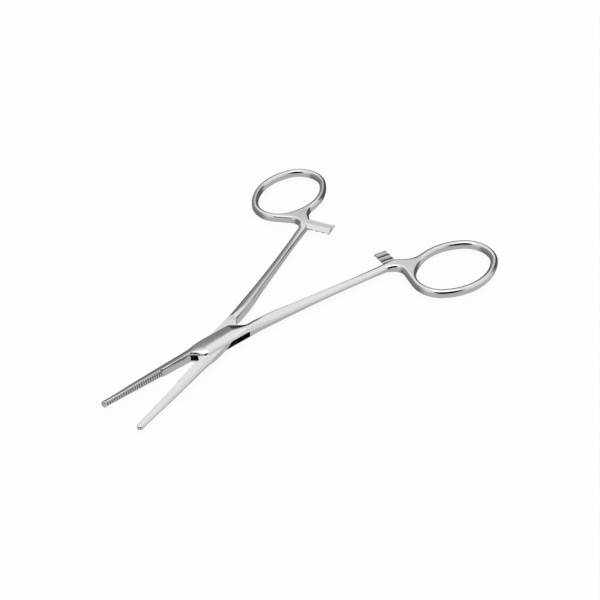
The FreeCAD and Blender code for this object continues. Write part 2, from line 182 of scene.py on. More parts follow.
def edge_distance(points, edge):
    """Distance from each point to the nearest of the edge's short straight runs.

    A point's foot on a run is at the clipped dot product of its offset and the run, over the run's
    squared length. One row of the grid at a time keeps the arrays small.
    """
    start, run = edge[:-1], np.diff(edge, axis=0)
    length = (run**2).sum(1) + 1e-12
    found = []
    for row in points:
        away = row[:, None] - start
        along = np.clip((away * run).sum(-1) / length, 0, 1)
        found.append(np.linalg.norm(away - along[..., None] * run, axis=-1).min(1))
    return np.array(found)


def roof(offset, share):
    """Soft ridge: 1 where the offset is 0, falling by a share to either edge at offset 1.

    With s as the softness, the fall is (sqrt(u^2 + s) - sqrt(s)) / (sqrt(1 + s) - sqrt(s)), which
    is a rounded |u|.
    """
    low, high = math.sqrt(RIDGE_SOFTNESS), math.sqrt(1 + RIDGE_SOFTNESS)
    return 1 - share * (np.sqrt(offset**2 + RIDGE_SOFTNESS) - low) / (high - low)


def ridge_offset(place, ridge):
    """Offset from the ridge for a place between the edges -1 and 1, scaled to 1 at each edge."""
    return (place - ridge) / (1 - np.sign(place - ridge) * ridge)


print("a third of the way up an edge the rise is", edge_rise(1 / 3, 1, 2).round(3))

# %% [markdown]
# ## From a grid of points to a mesh
# A surface with two parameters is a grid of points. The grid closes around its second direction.
# Then it either closes around its first one too, as a ring does, or has a cap at each end.

# %% Mesh from a grid


def grid_faces(rows, columns, loop, cap):
    """Corner numbers of each face: quads row by row, then the last row of a loop, then the caps."""
    index = np.arange(rows * columns).reshape(rows, columns)
    right = np.roll(index, -1, axis=1)
    quads = np.stack([index[:-1], right[:-1], right[1:], index[1:]], -1).reshape(-1, 4)
    if loop:
        last = np.stack([index[-1], right[-1], right[0], index[0]], -1)
        quads = np.concatenate([quads, last])
    faces = quads.tolist()
    if cap:
        faces.append(index[0][::-1].tolist())
        faces.append(index[-1].tolist())
    return faces


def grid_object(name, grid, loop, cap):
    """Mesh of quads over a grid of points, closed around its second direction."""
    mesh = bpy.data.meshes.new(name)
    mesh.from_pydata(grid.reshape(-1, 3).tolist(), [], grid_faces(*grid.shape[:2], loop, cap))
    mesh.update()
    piece = bpy.data.objects.new(name, mesh)
    bpy.context.scene.collection.objects.link(piece)
    return piece


print("faces over 3 by 4 points with caps:", len(grid_faces(3, 4, False, True)))

# %% [markdown]
# ## The plan of a forging
# Seen from above, a half is a jaw, a box with two slanted corners, a shank, a web and a ring.
# The ring is an oval of four arcs. The web's two edges leave the shank and run into the ring
# along its tangents, so no crease shows where they meet.

# %% Oval of the ring and edges of the web
SIDE_RADIUS = ((RING_LONG**2 + RING_WIDE**2 - 2 * RING_LONG * RING_END)
    / (2 * (RING_WIDE - RING_END)))
END_SHIFT = RING_LONG - RING_END
SIDE_SHIFT = SIDE_RADIUS - RING_WIDE
JOINT_ANGLE = math.atan2(END_SHIFT, SIDE_SHIFT)


def oval_point(angle, grow):
    """Point of the oval where its outward normal has this angle, grown outwards.

    Each arc has its centre shifted along x or y: side arcs where the normal leans to x by less
    than the joint angle, end arcs elsewhere.
    """
    cos, sin = np.cos(angle), np.sin(angle)
    lean = np.arctan2(np.abs(sin), np.abs(cos))
    side = lean < JOINT_ANGLE
    radius = np.where(side, SIDE_RADIUS, RING_END) + grow
    x = np.where(side, -np.sign(cos) * SIDE_SHIFT, 0) + radius * cos
    y = np.where(side, 0, np.sign(sin) * END_SHIFT) + radius * sin
    return np.stack([x - RING_X, y - RING_Y], -1)


OUTER_TURN, INNER_TURN = math.radians(68), math.radians(2.5)
OUTER_RUN, INNER_RUN = 8.8, 6.65
outer_touch = oval_point(np.array(OUTER_TURN), HALF_WIRE)
inner_touch = oval_point(np.array(INNER_TURN), HALF_WIRE)
outer_corner = outer_touch + OUTER_RUN * np.array([math.sin(OUTER_TURN), -math.cos(OUTER_TURN)])
inner_corner = inner_touch + INNER_RUN * np.array([-math.sin(INNER_TURN), math.cos(INNER_TURN)])
print("web corners", outer_corner.round(2), inner_corner.round(2))

# %% [markdown]
# ## Trunk: jaw, box, shank and web in one skin
# These parts are forged from one bar, so they are one surface. A row of its grid crosses the steel
# from its left edge to its right edge. The height there is the half thickness, times one edge
# curve from each side, times the ridge. Where an edge curve is wide the steel is crowned, and
# where it is narrow the wall stands upright, as at the jaw's inner face.

# %% Stations of the trunk
SHANK_OUTER = [(-13, -3.72), (-20, -4.3), (-30, -5.1), (-42, -6.33), (-54, -7.78), (-62, -8.85),
    (-66, -9.35)]
SHANK_INNER = [(-13, -0.3), (-20, -0.7), (-30, -2.08), (-42, -3.57), (-54, -5.02), (-62, -5.85),
    (-66, -6.3)]
OUTER_JAW = [(41.2, 1.9), (38, 1.98), (30, 2.4), (20, 2.8), (10.8, 3.12), (5.5, 3.58), (3, 3.6)]
HALF_BOX = 2.245
HALF_THICKNESS = [(41.2, 0.9), (30, 1.25), (20, 1.53), (10.6, 1.86), (6.2, 2.2), (3, HALF_BOX),
    (-8.5, HALF_BOX), (-13, 2.08), (-20, 1.75), (-30, 1.5), (-42, 1.28), (-54, 1.17), (-62, 1.25),
    (-68, 1.46), (-72, 1.5), (-99, 1.5)]
SHANK_OUTER_FOOT = float(through(np.array([FOOT_Y]), SHANK_OUTER)[0])
SHANK_INNER_FOOT = float(through(np.array([FOOT_Y]), SHANK_INNER)[0])
print("shank foot from", round(SHANK_OUTER_FOOT, 2), "to", round(SHANK_INNER_FOOT, 2), "mm")

# %% [markdown]
# ## Serrations
# The jaws grip with fine teeth across their inner faces. A bump map would leave their outline
# straight, so they are cut into the plan: a flat crest, a wall down, a floor and a wall up.

# %% Outline of the serrations
SERRATION_START, SERRATION_PITCH, SERRATION_COUNT, SERRATION_DEPTH = 20.5, 0.78, 25, 0.27
CREST_SHARE, FLOOR_START, FLOOR_END = 0.42, 0.6, 0.86


def serrations(shift):
    """Distances along the jaw where the teeth's outline bends, and which lie on a groove's floor."""
    phase = np.add.outer(np.arange(SERRATION_COUNT), [0, CREST_SHARE, FLOOR_START, FLOOR_END]).ravel()
    along = SERRATION_START + shift + SERRATION_PITCH * phase
    kept = along < JAW_REACH - TIP_RADIUS
    return along[kept], phase[kept] % 1 > (CREST_SHARE + FLOOR_START) / 2


print("the teeth end at", serrations(0)[0][-1].round(2), "mm")

# %% [markdown]
# ## Plan edges of jaw, box and shank
# The jaw's inner edge, the slanted corner of the box and the crotch are rounded paths. The outer
# edge and the shank are curves through stations. Rows lie close together where the plan turns.

# %% Edges of the trunk
CROTCH_X, CROTCH_RADIUS, CROTCH_FOOT = -0.32, 2.0, (-0.34, -14)
ROW_RUNS = [(11, 26), (5, 61), (-5, 31), (SHANK_START, 81), (FOOT_Y, 120)]
LEAST_WIDTH = 0.02


def across_at(rows, path):
    """The x of a path at each row's y."""
    order = np.argsort(path[:, 1])
    return np.interp(rows, path[order, 1], path[order, 0])


def trunk_edges(reach, shift):
    """Left and right edge points of each row, from the tip of the jaw to the foot of the shank.

    Rows follow the tip's arc and the teeth, then runs that each have an end and a point count.
    """
    inner_jaw = rounded_path([(TIP_WIDTH / 2, JAW_REACH, 0), (JAW_FACE, JAW_REACH, TIP_RADIUS),
        (JAW_FACE, reach, 0), (-BOX_OUTER, reach - BOX_OUTER, CHEEK_CORNER), (-BOX_OUTER, BOX_END, 0)])
    crotch = rounded_path([(BOX_INNER, 0, 0), (BOX_INNER, BOX_INNER - reach, CHEEK_CORNER),
        (CROTCH_X, CROTCH_X - reach, CROTCH_RADIUS), (*CROTCH_FOOT, 0)])
    teeth, floor = serrations(shift)
    runs = [JAW_REACH - TIP_RADIUS * (1 - np.cos(np.linspace(0, math.pi / 2, 12))),
        np.linspace(JAW_REACH - TIP_RADIUS, teeth[-1], 3)[1:-1], teeth[::-1]]
    start = teeth[0]
    for end, count in ROW_RUNS:
        runs.append(np.linspace(start, end, count)[1:])
        start = end
    rows = np.concatenate(runs)
    box_side = [(BOX_END, -BOX_OUTER), (-5, -BOX_OUTER)]
    left = np.where(rows < BOX_END, through(rows, box_side + SHANK_OUTER), across_at(rows, inner_jaw))
    left[np.isin(rows, teeth[floor])] += SERRATION_DEPTH
    right = np.where(rows < 0, across_at(rows, crotch), through(rows, OUTER_JAW))
    right = np.where(rows < SHANK_START, through(rows, SHANK_INNER), right)
    nose = np.clip((rows - (JAW_REACH - TIP_RADIUS)) / TIP_RADIUS, 0, 1)
    right = right - TIP_RADIUS * (1 - np.sqrt(1 - nose**2))
    right = np.maximum(right, left + LEAST_WIDTH)
    return np.stack([left, rows], 1), np.stack([right, rows], 1)


print("rows from the tip to the shank's foot:", len(trunk_edges(CHEEK_REACH, 0)[0]))

# %% [markdown]
# ## Plan edges of the web
# The web spreads from the shank into the ring like a tree into its root. Its edges meet the ring's
# wire along tangents, and they go on along the wire's outer rim, because the distance that shapes
# the rounded edge has to see past the end of the web.

# %% Edges of the web
CORNER_SHARE = 0.55
OUTER_RADIUS, CORNER_RADIUS, INNER_RADIUS = 3.0, 4.0, 8.0
RIM_BEYOND = np.radians(np.linspace(0, 40, 60))


def web_edges(steps):
    """Edges of the web, matched by their share of each edge's length, and the same edges carried on
    along the ring's rim, from which distances are measured.
    """
    left = rounded_path([(SHANK_OUTER_FOOT, FOOT_Y, 0), (*outer_corner, OUTER_RADIUS),
        (*outer_touch, 0)])
    right = rounded_path([(SHANK_INNER_FOOT, FOOT_Y, 0), (*WEB_CORNER, CORNER_RADIUS),
        (*inner_corner, INNER_RADIUS), (*inner_touch, 0)])
    edges, rims = [], []
    for rim, key, turn, way in ((left, outer_corner, OUTER_TURN, 1), (right, inner_corner, INNER_TURN, -1)):
        points = np.concatenate([rim, oval_point(np.array([turn]), 0)])
        run = np.concatenate([[0], np.cumsum(np.linalg.norm(np.diff(points, axis=0), axis=1))])
        corner = run[np.argmin(np.linalg.norm(points - key, axis=1))]
        at = np.interp(steps, [0, CORNER_SHARE, 1], [0, corner, run[-1]])
        edges.append(np.stack([np.interp(at, run, points[:, 0]), np.interp(at, run, points[:, 1])], 1))
        rims.append(np.concatenate([rim, oval_point(turn + way * RIM_BEYOND, HALF_WIRE)]))
    return edges, rims


print("points on the web's rims:", [len(rim) for rim in web_edges(np.array([0.0, 1.0]))[1]])

# %% [markdown]
# ## Plan of the whole trunk
# Rows of the shank go straight on into rows of the web. The last ones bend until they lie along
# the middle of the ring's wire, so that the union with the ring leaves no corner.

# %% Plan of the trunk
ACROSS = 34
WEB_STEPS = np.linspace(0, 1, 90)[1:]
BEND_START = 0.3


def trunk_plan(reach, shift):
    """Grid of plan points, each row's share of the web, and the two outlines.

    Across a row s runs from edge to edge with cosine spacing, (1 - cos(pi k)) / 2. In the web the
    straight row is bent by the difference between the wire's arc and its chord.
    """
    left, right = trunk_edges(reach, shift)
    (web_left, web_right), rims = web_edges(WEB_STEPS)
    outlines = [np.concatenate([side, rim]) for side, rim in zip((left, right), rims)]
    steps = np.concatenate([np.zeros(len(left)), WEB_STEPS])
    left = np.concatenate([left, web_left])
    right = np.concatenate([right, web_right])
    share = (1 - np.cos(np.linspace(0, math.pi, ACROSS))) / 2
    arc = oval_point(OUTER_TURN + (INNER_TURN - OUTER_TURN) * share, 0)
    chord = arc[0] + (arc[-1] - arc[0]) * share[:, None]
    bend = np.clip((steps - BEND_START) / (1 - BEND_START), 0, 1) ** 2
    plan = left[:, None] + (right - left)[:, None] * share[None, :, None]
    plan = plan + bend[:, None, None] * (arc - chord)[None]
    y = np.minimum(left[:, 1], right[:, 1])[:, None] * np.ones(ACROSS)
    return plan, y, steps[:, None], outlines


print("plan grid", trunk_plan(CHEEK_REACH, 0)[0].shape)

# %% [markdown]
# ## Crown and ridge
# The widths of the two edge curves, their fullness, and the share and place of the ridge are
# stations too. The box has its ridge a little to the outer side, the jaw has it along its inner
# edge, and the shank has none.

# %% The trunk's skin
BOX_RISE, BOX_POWER, BOX_ROOF = 0.9, 2.2, 0.37
LEFT_RISE = [(41.2, 0.25), (10.6, 0.3), (8, 0.25), (6.2, 0.6), (3.5, BOX_RISE), (-9, 1.2), (-13, 2.2),
    (-20, 2.8), (-30, 2.5), (-54, 2.2), (-62, 2.0), (-66, 1.4), (-70, 1.0), (-99, 1.0)]
RIGHT_RISE = [(41.2, 0.5), (39, 1.5), (30, 2.2), (20, 2.7), (10, 2.6), (4, BOX_RISE), (-4, BOX_RISE),
    (-7.5, 0.8), (-10.6, 0.7), (-13, 0.6), (-20, 0.55), (-30, 0.5), (-46, 0.6), (-56, 1.1), (-62, 1.3),
    (-66, 1.2), (-70, 1.0), (-99, 1.0)]
POWER = [(41.2, 2.2), (10, 2.3), (4, BOX_POWER), (-99, BOX_POWER)]
ROOF = [(41.2, 0.28), (20, 0.28), (8, 0.35), (4, BOX_ROOF), (-8, BOX_ROOF), (-13, 0.15), (-20, 0), (-99, 0)]
RIDGE = [(41.2, -0.85), (12, -0.8), (7, -0.55), (3, -0.35), (-6, -0.2), (-13, 0.1), (-20, 0), (-99, 0)]
WEB_SINK = 0.008


def trunk_grid(reach, shift):
    """Closed rings of points, the top from left to right and the bottom back.

    z = plus and minus h(y) times the roof at the point's place between the edges, times the rise
    from the left edge, times the rise from the right edge. The web's end sinks just below the wire.
    """
    plan, y, steps, outlines = trunk_plan(reach, shift)
    power = through(y, POWER)
    blend = steps**2
    wide_left = through(y, LEFT_RISE) * (1 - blend) + HALF_WIRE * blend
    wide_right = through(y, RIGHT_RISE) * (1 - blend) + HALF_WIRE * blend
    from_left, from_right = [edge_distance(plan, outline) for outline in outlines]
    place = (from_left - from_right) / (from_left + from_right + 1e-9)
    ridge = roof(ridge_offset(place, through(y, RIDGE)), through(y, ROOF))
    height = through(y, HALF_THICKNESS) * (1 - WEB_SINK * blend) * ridge
    height = height * edge_rise(from_left, wide_left, power) * edge_rise(from_right, wide_right, power)
    height[:, 0] = 0
    height[:, -1] = 0
    top = np.concatenate([plan, height[..., None]], -1)
    bottom = np.concatenate([plan, -height[..., None]], -1)[:, -2:0:-1]
    return np.concatenate([top, bottom], 1)


trunks = {"box_half": trunk_grid(CHEEK_REACH, 0),
    "tongue_half": trunk_grid(CHEEK_REACH - TONGUE_CLEARANCE, SERRATION_PITCH / 2)}
print("trunk grid", trunks["box_half"].shape)

# %% [markdown]
# ## Finger ring
# The ring is a wire forged into an oval, higher than it is wide. A torus has a round wire, so the
# section is a superellipse carried around the oval instead.

# %% Finger ring
WIRE_POWER = 2.25


def ring_grid():
    """Oval tube: at each normal angle, a superellipse of the wire's width and height."""
    normal = np.linspace(0, 2 * math.pi, 200, endpoint=False)
    around = np.linspace(0, 2 * math.pi, 32, endpoint=False)
    swell = 2 / WIRE_POWER
    wide = WIRE_WIDTH / 2 * np.sign(np.cos(around)) * np.abs(np.cos(around)) ** swell
    high = WIRE_HEIGHT / 2 * np.sign(np.sin(around)) * np.abs(np.sin(around)) ** swell
    plan = oval_point(normal[:, None] + 0 * wide, wide + 0 * normal[:, None])
    return np.concatenate([plan, (high + 0 * normal[:, None])[..., None]], -1)


print("ring grid", ring_grid().shape)

# %% [markdown]
# ## Placing a half
# One function takes a drawing to its place: mirror it for the tongue half, turn it by half the
# opening, lift it to the middle plane and go from millimetres to metres.

# %% From drawing to place
MERGE_DISTANCE, FLAT_DISTANCE = 2e-6, 1e-7


def placed(points, side):
    """Mirror in x for the second half, turn about the pivot, lift and scale to metres."""
    angle = math.radians(-side * HALF_ANGLE)
    cos, sin = math.cos(angle), math.sin(angle)
    x, y, z = points[..., 0] * side, points[..., 1], points[..., 2]
    return np.stack([x * cos - y * sin, x * sin + y * cos, z + MIDDLE_Z], -1) * MM


def outward(piece, sharp):
    """Point every face outwards, then shade smooth except across edges sharper than an angle."""
    work = bmesh.new()
    work.from_mesh(piece.data)
    bmesh.ops.remove_doubles(work, verts=work.verts, dist=MERGE_DISTANCE)
    bmesh.ops.dissolve_degenerate(work, edges=work.edges, dist=FLAT_DISTANCE)
    bmesh.ops.recalc_face_normals(work, faces=work.faces)
    work.to_mesh(piece.data)
    work.free()
    piece.data.shade_smooth()
    piece.data.set_sharp_from_angle(angle=math.radians(sharp))
    return piece


def carve(piece, tool, operation):
    """Union with, or difference from, another closed mesh, which is then removed."""
    step = piece.modifiers.new(operation.capitalize(), "BOOLEAN")
    step.operation = operation
    step.solver = "EXACT"
    step.material_mode = "TRANSFER"
    step.object = tool
    shaped = bpy.data.meshes.new_from_object(piece.evaluated_get(bpy.context.evaluated_depsgraph_get()))
    piece.modifiers.clear()
    piece.data = shaped
    bpy.data.objects.remove(tool)
    return piece


print("the tip of the box half is at", placed(np.array([JAW_FACE, JAW_REACH, 0.0]), 1).round(4), "m")

# %% [markdown]
# ## Polished steel
# Surgical steel is ground, then polished. What reads as steel is a bright reflection that fine
# scratches spread, so the finish is a metal with low roughness, a slow cloudiness in that
# roughness, and very fine scratches as a bump. The pin is a little duller than the forgings. The
# walls of the jaws' grooves and of the box's slot get painted shade: darker steel colours that
# stand in for the shade in these narrow recesses.

# %% Steel
CLOUD_SCALE, CLOUD_DETAIL = 90.0, 4.0
ROUGHNESS_BELOW, ROUGHNESS_ABOVE, DARKER_TINT = 0.05, 0.07, 0.94
SCRATCH_STRETCH, SCRATCH_DETAIL, SCRATCH_DEPTH = (9000.0, 600.0, 4000.0), 2.0, 0.00002


def noise(nodes, links, vector, scale, detail):
    """Noise texture on a vector, with its scale and detail on the sockets."""
    texture = nodes.new("ShaderNodeTexNoise")
    texture.inputs["Scale"].default_value = scale
    texture.inputs["Detail"].default_value = detail
    links.new(vector, texture.inputs["Vector"])
    return texture.outputs["Fac"]


def steel(name, tint, roughness, scratch):
    """Metal whose roughness and tint drift with slow noise, with stretched fine noise as scratches."""
    material = bpy.data.materials.new(name)
    material.use_nodes = True
    nodes, links = material.node_tree.nodes, material.node_tree.links
    shader = nodes["Principled BSDF"]
    shader.inputs["Metallic"].default_value = 1.0
    place = nodes.new("ShaderNodeTexCoord").outputs["Object"]
    cloud = noise(nodes, links, place, CLOUD_SCALE, CLOUD_DETAIL)
    spread = nodes.new("ShaderNodeMapRange")
    spread.inputs["To Min"].default_value = roughness - ROUGHNESS_BELOW
    spread.inputs["To Max"].default_value = roughness + ROUGHNESS_ABOVE
    links.new(cloud, spread.inputs["Value"])
    links.new(spread.outputs["Result"], shader.inputs["Roughness"])
    tone = nodes.new("ShaderNodeMix")
    tone.data_type = "RGBA"
    tone.inputs[6].default_value = (*[c * DARKER_TINT for c in tint], 1)
    tone.inputs[7].default_value = (*tint, 1)
    links.new(cloud, tone.inputs[0])
    links.new(tone.outputs[2], shader.inputs["Base Color"])
    stretch = nodes.new("ShaderNodeMapping")
    stretch.inputs["Scale"].default_value = SCRATCH_STRETCH
    links.new(place, stretch.inputs["Vector"])
    bump = nodes.new("ShaderNodeBump")
    bump.inputs["Strength"].default_value = scratch
    bump.inputs["Distance"].default_value = SCRATCH_DEPTH
    scratches = noise(nodes, links, stretch.outputs["Vector"], 1.0, SCRATCH_DETAIL)
    links.new(scratches, bump.inputs["Height"])
    links.new(bump.outputs["Normal"], shader.inputs["Normal"])
    return material


polished = steel("polished_steel", (0.72, 0.72, 0.725), 0.14, 0.25)
pin_steel = steel("pin_steel", (0.7, 0.7, 0.705), 0.22, 0.2)
# Painted shade: near-black steel for the slot's walls and mid-grey steel for the grooves' walls.
slot_painted_shade = steel("painted_slot_shade", (0.03, 0.03, 0.03), 0.5, 0.2)
groove = steel("groove_painted_shade", (0.45, 0.45, 0.45), 0.35, 0.2)
print("finishes", [finish.name for finish in (polished, pin_steel, slot_painted_shade, groove)])

# %% [markdown]
# ## Forging
# Each half starts as the trunk's skin joined to its ring by a union, which works for two closed
# meshes. The walls of the jaw's grooves get their painted shade first, while the grid still has its order.

# %% Trunk and ring joined
WALL_FACES, FORGING_SHARP = 4, 32


def paint_groove_shade(piece, grid, shift):
    """Second material, painted shade, for the faces of the jaw's inner wall that lie between two crests.

    The grid's faces run row by row, and the wall is the first and the last few faces of a row.
    """
    columns = np.arange(grid.shape[1])
    wall = np.minimum(columns, columns[::-1]) < WALL_FACES
    middle = (grid[:-1, 0, 1] + grid[1:, 0, 1]) / 2
    phase = (middle - SERRATION_START - shift) / SERRATION_PITCH
    grooved = (phase > 0) & (phase % 1 > CREST_SHARE) & (middle < JAW_REACH - TIP_RADIUS)
    finish = np.zeros(len(piece.data.polygons), dtype=np.int32)
    finish[:grooved.size * wall.size] = np.outer(grooved, wall).ravel()
    piece.data.polygons.foreach_set("material_index", finish)


halves = {}
for node, side, shift in (("box_half", 1, 0), ("tongue_half", -1, SERRATION_PITCH / 2)):
    half = grid_object(node + "_forging", placed(trunks[node], side), False, True)
    half.data.materials.append(polished)
    # The second material is painted shade on the walls of the jaw's grooves.
    half.data.materials.append(groove)
    paint_groove_shade(half, trunks[node], shift)
    outward(half, FORGING_SHARP)
    ring = outward(grid_object("ring", placed(ring_grid(), side), True, False), FORGING_SHARP)
    ring.data.materials.append(polished)
    halves[node] = carve(half, ring, "UNION")
    print(node, "joined with", len(half.data.polygons), "faces")

# %% [markdown]
# ## Cutting the box lock
# The box half is slotted for the tongue. The tongue half is thinned above and below where it
# passes through the slot, with slanted shoulders at both ends, and is bored for the pin. Cutting
# tools stand for the milling cutter, and each gives the walls that it cuts its own material; the
# slot's walls get near-black painted shade.

# %% Slot, relief and bore
SHOULDER_TURN, SHOULDER_CLEARANCE, SHOULDER_RUN = math.radians(21.8), 0.3, 1.4
TOOL_SHARP = 30


def disc_tool(side, radius, height, material):
    """Flat disc about the pivot that cuts a slot or a bore, and its walls take its material."""
    angle = np.linspace(0, 2 * math.pi, 180, endpoint=False)
    rim = np.stack([radius * np.cos(angle), radius * np.sin(angle), 0 * angle], -1)
    grid = np.stack([rim + (0, 0, -height / 2), rim + (0, 0, height / 2)])
    tool = outward(grid_object("disc_tool", placed(grid, side), False, True), TOOL_SHARP)
    tool.data.materials.append(material)
    return tool


def relief_tool(side, sign):
    """Wedge that thins the tongue above or below, with slanted shoulders at both ends.

    With a as the shoulders' turn, its section is a trapezoid along (sin a, cos a, 0), and the
    section is carried across the half along (cos a, -sin a, 0).
    """
    foot = (CHEEK_REACH + SHOULDER_CLEARANCE) * math.cos(SHOULDER_TURN)
    low, high = TONGUE_HEIGHT / 2, BOX_THICKNESS
    head = foot + SHOULDER_RUN * (high - low) / (MIDDLE_Z - low)
    along = np.array([math.sin(SHOULDER_TURN), math.cos(SHOULDER_TURN), 0])
    across = np.array([math.cos(SHOULDER_TURN), -math.sin(SHOULDER_TURN), 0]) * 4 * BOX_OUTER
    profile = np.array([[-foot, low], [foot, low], [head, high], [-head, high]])
    line = profile[:, :1] * along + profile[:, 1:] * np.array([0, 0, sign])
    grid = placed(np.stack([line - across, line + across]), side)
    tool = outward(grid_object("relief_tool", grid, False, True), TOOL_SHARP)
    tool.data.materials.append(polished)
    return tool


# The slot's walls take the tool's near-black painted shade.
carve(halves["box_half"], disc_tool(1, CHEEK_REACH, SLOT_HEIGHT, slot_painted_shade), "DIFFERENCE")
for tool in (relief_tool(-1, 1), relief_tool(-1, -1),
        disc_tool(-1, PIN_RADIUS + PIN_CLEARANCE, BOX_THICKNESS, polished)):
    carve(halves["tongue_half"], tool, "DIFFERENCE")
for node, half in halves.items():
    outward(half, FORGING_SHARP)
    print(node, "has", len(half.data.polygons), "faces")

# %% [markdown]
# ## Ratchet bars
# Each shank carries a bar of saw teeth that catches on the other one. A bar is one profile
# carried along a straight line: wide at its toothed face, narrow at its back, with bevels
# between. Only the height of the toothed face changes along it, which makes the teeth.

# %% Ratchet bar
BARS = {"box_half": (1, 68.3, 13.0, 0.3), "tongue_half": (-1, 67.6, 6.5, 2.2)}
BAR_ROOT, BAR_WIDTH, NEAR_BEVEL, FAR_BEVEL, BAR_LAND, BAR_GAP = 7.6, 4.5, 1.8, 0.3, 0.75, 0.1
BAR_FACE, BAR_BACK = -BAR_GAP / 2, -WIRE_HEIGHT / 2
TOOTH_PITCH, TOOTH_HEIGHT, TOOTH_COUNT, TOOTH_END, END_SLOPE = 2.25, 0.65, 3, 0.55, 0.5
TOOTH_WALL, TOOTH_LAND, END_DROP = 0.03, 0.2, 0.1
END_TOP, END_LAND = 0.25, 0.12
BAR_SHARP, WORN_EDGE, WORN_ANGLE = 20, 0.07, 25


def toothed_face(length):
    """Stations (distance, height) of the toothed face: a ramp down, then a wall up, per tooth."""
    first = length - END_SLOPE - TOOTH_END - TOOTH_PITCH * (TOOTH_COUNT - 1)
    stations = [(0, BAR_FACE), (max(first - TOOTH_PITCH, TOOTH_LAND), BAR_FACE)]
    for wall in first + TOOTH_PITCH * np.arange(TOOTH_COUNT):
        stations.append((wall - TOOTH_WALL, BAR_FACE - TOOTH_HEIGHT))
        stations += [(wall, BAR_FACE), (wall + TOOTH_LAND, BAR_FACE)]
    return stations + [(length - END_SLOPE, BAR_FACE - END_DROP), (length, BAR_BACK + END_TOP)]


def ratchet_bar(name, side, bar_y, bar_tilt, reach):
    """Bar of sections with six corners each: up one side, across the toothed face, down the other
    side and around the narrower back. The last section is lower, which slopes the bar's tip.
    """
    tilt = math.radians(-bar_tilt)
    along, top = np.array(toothed_face((BAR_ROOT + reach) / math.cos(tilt))).T
    land = np.full(len(along), BAR_FACE - BAR_LAND)
    land[-1] = BAR_BACK + END_LAND
    back = np.full(len(along), BAR_BACK)
    half = BAR_WIDTH / 2
    across = np.array([-half, -half, half, half, half - NEAR_BEVEL, -half + FAR_BEVEL])
    height = np.stack([land, top, top, land, back, back], 1)
    along = along[:, None]
    x = -BAR_ROOT + along * math.cos(tilt) - across * math.sin(tilt)
    y = -bar_y + along * math.sin(tilt) + across * math.cos(tilt)
    grid = np.stack([x, y, side * height], -1)
    bar = outward(grid_object(name, placed(grid, side), False, True), BAR_SHARP)
    bevel = bar.modifiers.new("Worn edges", "BEVEL")
    bevel.width = WORN_EDGE * MM
    bevel.segments = 2
    bevel.limit_method = "ANGLE"
    bevel.angle_limit = math.radians(WORN_ANGLE)
    bar.data.materials.append(polished)
    return bar


bars = {node: ratchet_bar(node + "_ratchet", *sizes) for node, sizes in BARS.items()}
print("ratchet bars", [bar.name for bar in bars.values()])

# %% [markdown]
# ## Pivot pin
# The pin is peened and ground with the box, so its ends follow the crown and the ridge of the
# cheeks. A plain cylinder would stand out of them. Only a hair line shows the pin's edge.

# %% Pivot pin
PIN_RIDGE, PIN_SHARP = -0.28, 50
PIN_RADII = np.array([0.001, 0.3, 0.6, 0.9, 1.15, 1.33, 1.38, PIN_RADIUS])
PIN_PROUD = np.array([0.004, 0.004, 0.004, 0.004, 0.004, 0.004, -0.01, -0.05])


def box_crown(x):
    """Half thickness of the box at a distance across it, from the trunk's own curves."""
    rise = edge_rise(x + BOX_OUTER, BOX_RISE, BOX_POWER) * edge_rise(BOX_INNER - x, BOX_RISE, BOX_POWER)
    return HALF_BOX * rise * roof(ridge_offset(x / BOX_INNER, PIN_RIDGE), BOX_ROOF)


turns = np.linspace(0, 2 * math.pi, 64, endpoint=False)
pin_x = PIN_RADII[:, None] * np.cos(turns)
pin_y = PIN_RADII[:, None] * np.sin(turns)
upper = np.stack([pin_x, pin_y, box_crown(pin_x) + PIN_PROUD[:, None]], -1)
lower = upper[::-1] * (1, 1, -1)
ends = placed(np.concatenate([upper, lower]), 1)
pin = outward(grid_object("pivot_pin_ends", ends, False, True), PIN_SHARP)
pin.data.materials.append(pin_steel)
print("pin faces", len(pin.data.polygons))

# %% [markdown]
# ## Who moves with what
# Every piece rides on a CAD body, so the halves open and close as the real ones do, and each
# stands for the CAD node that it covers.

# %% Riding and replacing
BODY = {"box_half": "box_frame", "tongue_half": "tongue_arm"}
for node, half in halves.items():
    for piece in (half, bars[node]):
        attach(piece, BODY[node])
        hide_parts(node)
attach(pin, "box_frame")
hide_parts("pivot_pin")

# %% [markdown]
# ## Camera
# The camera stands where the photographer's did: above the jaws, looking down along the shanks.

# %% Camera
AZIMUTH, ELEVATION, DISTANCE = math.radians(219.07), math.radians(38.89), 315.09
FOCAL_PIXELS, PICTURE_PIXELS = 1034.88, 600
PIVOT_COLUMN, PIVOT_ROW = 218.0, 342.76
right = Vector((math.cos(AZIMUTH), math.sin(AZIMUTH), 0))
back = Vector((math.sin(AZIMUTH) * math.cos(ELEVATION), -math.cos(AZIMUTH) * math.cos(ELEVATION),
    math.sin(ELEVATION)))
up = back.cross(right)
across_shift = (PICTURE_PIXELS / 2 - PIVOT_COLUMN) / FOCAL_PIXELS * DISTANCE
upward_shift = (PIVOT_ROW - PICTURE_PIXELS / 2) / FOCAL_PIXELS * DISTANCE
spot = right * across_shift + up * upward_shift + back * DISTANCE + Vector((0, 0, MIDDLE_Z))
camera_data = bpy.data.cameras.new("camera")
camera_data.sensor_width = 36
camera_data.lens = camera_data.sensor_width * FOCAL_PIXELS / PICTURE_PIXELS
camera_data.clip_start = 0.01
camera = bpy.data.objects.new("camera", camera_data)
camera.matrix_world = Matrix.Translation(spot * MM) @ Matrix((right, up, back)).transposed().to_4x4()
bpy.context.scene.collection.objects.link(camera)
bpy.context.scene.camera = camera
print("camera lens", round(camera_data.lens, 2), "mm")

# %% [markdown]
# ## Studio light
# Polished steel shows the room, so the room is the lighting. It is a light tent: a bright ceiling,
# light walls that darken towards +x, a dark wall beyond the instrument, which draws the dark
# sides of the shanks, and a dark spot around the camera, which shows on steel that faces it.
# Lamps alone would leave black steel between their highlights.

